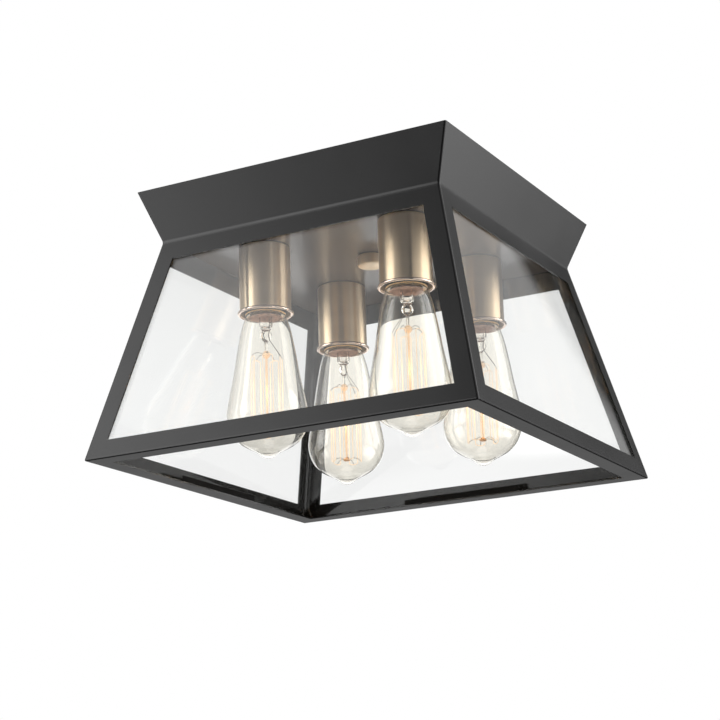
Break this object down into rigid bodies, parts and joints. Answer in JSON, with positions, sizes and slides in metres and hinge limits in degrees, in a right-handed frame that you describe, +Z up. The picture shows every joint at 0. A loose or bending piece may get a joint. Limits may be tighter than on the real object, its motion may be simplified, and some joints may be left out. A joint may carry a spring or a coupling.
{
  "type": "flush mount ceiling light",
  "caption": "Tapered square lantern ceiling light in black sheet metal, clear glass sides, open below, with brass lampholders and clear filament bulbs that screw in.",
  "frame": {"origin": "centre of the ceiling plane, midway between the crossbar's two slots at the canopy rim's level", "axes": "+Z up into the ceiling; X along the crossbar; -Y towards the wide side face seen in the picture"},
  "size_m": [0.33, 0.33, 0.219],
  "materials": {
    "black_paint": "satin",
    "pane_glass": "clear",
    "bulb_glass": "clear",
    "antique_brass": "satin",
    "lamp_brass": "bright",
    "filament": "matte",
    "insulator": "matte",
    "zinc_steel": "zinc plated",
    "green_paint": "satin",
    "black_wire": "matte",
    "white_wire": "matte",
    "wire_nut": "matte"
  },
  "bodies": {
    "fixture": {"bottom_rail_1": "black_paint", "bottom_rail_2": "black_paint", "bottom_rail_3": "black_paint", "bottom_rail_4": "black_paint", "canopy_pan": "black_paint", "centre_nipple": "zinc_steel", "corner_post_1": "black_paint", "corner_post_2": "black_paint", "corner_post_3": "black_paint", "corner_post_4": "black_paint", "glass_keepers": "black_paint", "glass_panel_1": "pane_glass", "glass_panel_2": "pane_glass", "glass_panel_3": "pane_glass", "glass_panel_4": "pane_glass", "glass_top_clips": "black_paint", "ground_screw": "green_paint", "hot_leads": "black_wire", "hot_wire_nut": "wire_nut", "mounting_crossbar": "zinc_steel", "neutral_leads": "white_wire", "neutral_wire_nut": "wire_nut", "nipple_lock_nut": "zinc_steel", "socket_bodies": "insulator", "socket_contacts": "lamp_brass", "socket_cup_1": "antique_brass", "socket_cup_2": "antique_brass", "socket_cup_3": "antique_brass", "socket_cup_4": "antique_brass", "socket_nipple_nuts": "zinc_steel", "socket_nipples": "zinc_steel", "socket_screw_shells": "lamp_brass", "top_rail_1": "black_paint", "top_rail_2": "black_paint", "top_rail_3": "black_paint", "top_rail_4": "black_paint"},
    "bulb_1_carrier": {"bulb_contact_1": "lamp_brass"},
    "bulb_1": {"bulb_glass_1": "bulb_glass", "bulb_cap_1": "lamp_brass", "bulb_stem_1": "bulb_glass", "bulb_filament_1": "filament"},
    "bulb_2_carrier": {"bulb_contact_2": "lamp_brass"},
    "bulb_2": {"bulb_glass_2": "bulb_glass", "bulb_cap_2": "lamp_brass", "bulb_stem_2": "bulb_glass", "bulb_filament_2": "filament"},
    "bulb_3_carrier": {"bulb_contact_3": "lamp_brass"},
    "bulb_3": {"bulb_glass_3": "bulb_glass", "bulb_cap_3": "lamp_brass", "bulb_stem_3": "bulb_glass", "bulb_filament_3": "filament"},
    "bulb_4_carrier": {"bulb_contact_4": "lamp_brass"},
    "bulb_4": {"bulb_glass_4": "bulb_glass", "bulb_cap_4": "lamp_brass", "bulb_stem_4": "bulb_glass", "bulb_filament_4": "filament"},
    "finial_carrier": {"finial_washer": "antique_brass"},
    "finial": {"finial": "antique_brass"}
  },
  "joints": [
    {"name": "bulb_1_drop", "type": "slide", "parent": "fixture", "child": "bulb_1_carrier", "axis": [0, 0, -1], "range_m": [0, 0.0182]},
    {"name": "bulb_1_turn", "type": "hinge", "parent": "bulb_1_carrier", "child": "bulb_1", "pos_m": [0.063, -0.063, -0.085], "axis": [0, 0, -1], "range_deg": [0, 1800]},
    {"name": "bulb_2_drop", "type": "slide", "parent": "fixture", "child": "bulb_2_carrier", "axis": [0, 0, -1], "range_m": [0, 0.0182]},
    {"name": "bulb_2_turn", "type": "hinge", "parent": "bulb_2_carrier", "child": "bulb_2", "pos_m": [0.063, 0.063, -0.085], "axis": [0, 0, -1], "range_deg": [0, 1800]},
    {"name": "bulb_3_drop", "type": "slide", "parent": "fixture", "child": "bulb_3_carrier", "axis": [0, 0, -1], "range_m": [0, 0.0182]},
    {"name": "bulb_3_turn", "type": "hinge", "parent": "bulb_3_carrier", "child": "bulb_3", "pos_m": [-0.063, 0.063, -0.085], "axis": [0, 0, -1], "range_deg": [0, 1800]},
    {"name": "bulb_4_drop", "type": "slide", "parent": "fixture", "child": "bulb_4_carrier", "axis": [0, 0, -1], "range_m": [0, 0.0182]},
    {"name": "bulb_4_turn", "type": "hinge", "parent": "bulb_4_carrier", "child": "bulb_4", "pos_m": [-0.063, -0.063, -0.085], "axis": [0, 0, -1], "range_deg": [0, 1800]},
    {"name": "finial_drop", "type": "slide", "parent": "fixture", "child": "finial_carrier", "axis": [0, 0, -1], "range_m": [0, 0.0067]},
    {"name": "finial_turn", "type": "hinge", "parent": "finial_carrier", "child": "finial", "pos_m": [0, 0, -0.045], "axis": [0, 0, -1], "range_deg": [0, 2520]}
  ],
  "couplings": [
    {"joint": "bulb_1_drop", "follows": "bulb_1_turn", "m_per_rad": 0.0005775},
    {"joint": "bulb_2_drop", "follows": "bulb_2_turn", "m_per_rad": 0.0005775},
    {"joint": "bulb_3_drop", "follows": "bulb_3_turn", "m_per_rad": 0.0005775},
    {"joint": "bulb_4_drop", "follows": "bulb_4_turn", "m_per_rad": 0.0005775},
    {"joint": "finial_drop", "follows": "finial_turn", "m_per_rad": 0.00014972}
  ]
}
